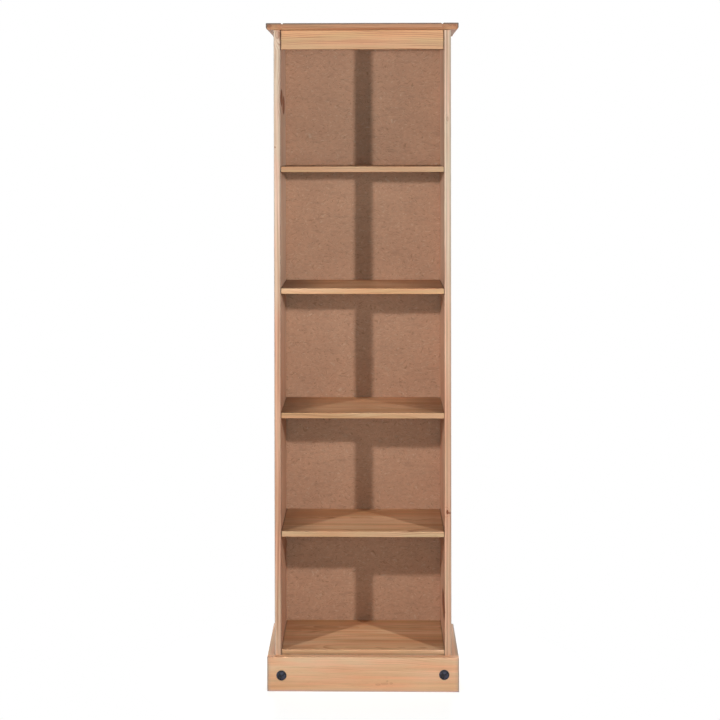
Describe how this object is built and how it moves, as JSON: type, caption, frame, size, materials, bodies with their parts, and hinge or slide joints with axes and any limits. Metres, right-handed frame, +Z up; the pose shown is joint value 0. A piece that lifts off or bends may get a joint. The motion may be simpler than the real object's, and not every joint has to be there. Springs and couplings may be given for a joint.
{
  "type": "narrow bookcase",
  "caption": "Tall narrow open bookcase in waxed pine with fixed shelves, a hardboard back, an overhanging top and a plinth with two iron studs.",
  "frame": {"origin": "on the floor, under the centre of the whole object's box", "axes": "+Z up, +X to the right as seen from the front, -Y out of the open front"},
  "size_m": [0.52, 0.2982, 1.81],
  "materials": {
    "top_pine": "waxed pine, orange-brown",
    "header_pine": "waxed pine, honey",
    "side_pine": "waxed pine, pale pinkish",
    "shelf_pine": "waxed pine, honey",
    "plinth_pine": "waxed pine, pale honey",
    "block_pine": "bare planed pine",
    "hardboard": "smooth brown hardboard, matt",
    "iron": "black waxed iron",
    "beech": "bare beech dowel",
    "zinc": "bright zinc plate"
  },
  "bodies": {
    "root": {"back_panel": "hardboard", "base_shelf": "shelf_pine", "cam_base_shelf_left": "zinc", "cam_base_shelf_right": "zinc", "cam_bolt_base_shelf_left": "zinc", "cam_bolt_base_shelf_right": "zinc", "cam_bolt_shelf_2_left": "zinc", "cam_bolt_shelf_2_right": "zinc", "cam_shelf_2_left": "zinc", "cam_shelf_2_right": "zinc", "dowel_base_shelf_left_rear": "beech", "dowel_base_shelf_right_rear": "beech", "dowel_header_left": "beech", "dowel_header_right": "beech", "dowel_shelf_1_left_front": "beech", "dowel_shelf_1_left_rear": "beech", "dowel_shelf_1_right_front": "beech", "dowel_shelf_1_right_rear": "beech", "dowel_shelf_2_left_rear": "beech", "dowel_shelf_2_right_rear": "beech", "dowel_shelf_3_left_front": "beech", "dowel_shelf_3_left_rear": "beech", "dowel_shelf_3_right_front": "beech", "dowel_shelf_3_right_rear": "beech", "dowel_shelf_4_left_front": "beech", "dowel_shelf_4_left_rear": "beech", "dowel_shelf_4_right_front": "beech", "dowel_shelf_4_right_rear": "beech", "dowel_top_left_front": "beech", "dowel_top_left_rear": "beech", "dowel_top_right_front": "beech", "dowel_top_right_rear": "beech", "header_rail": "header_pine", "panel_screw_base_shelf_left": "zinc", "panel_screw_base_shelf_right": "zinc", "panel_screw_shelf_1_left": "zinc", "panel_screw_shelf_1_right": "zinc", "panel_screw_shelf_2_left": "zinc", "panel_screw_shelf_2_right": "zinc", "panel_screw_shelf_3_left": "zinc", "panel_screw_shelf_3_right": "zinc", "panel_screw_shelf_4_left": "zinc", "panel_screw_shelf_4_right": "zinc", "plinth_block_left": "block_pine", "plinth_block_right": "block_pine", "plinth_front": "plinth_pine", "plinth_return_left": "plinth_pine", "plinth_return_right": "plinth_pine", "shelf_1": "shelf_pine", "shelf_2": "shelf_pine", "shelf_3": "shelf_pine", "shelf_4": "shelf_pine", "side_left": "side_pine", "side_right": "side_pine", "stud_left": "iron", "stud_right": "iron", "top_cap_left": "top_pine", "top_cap_right": "top_pine", "top_centre_board": "top_pine"}
  },
  "joints": []
}
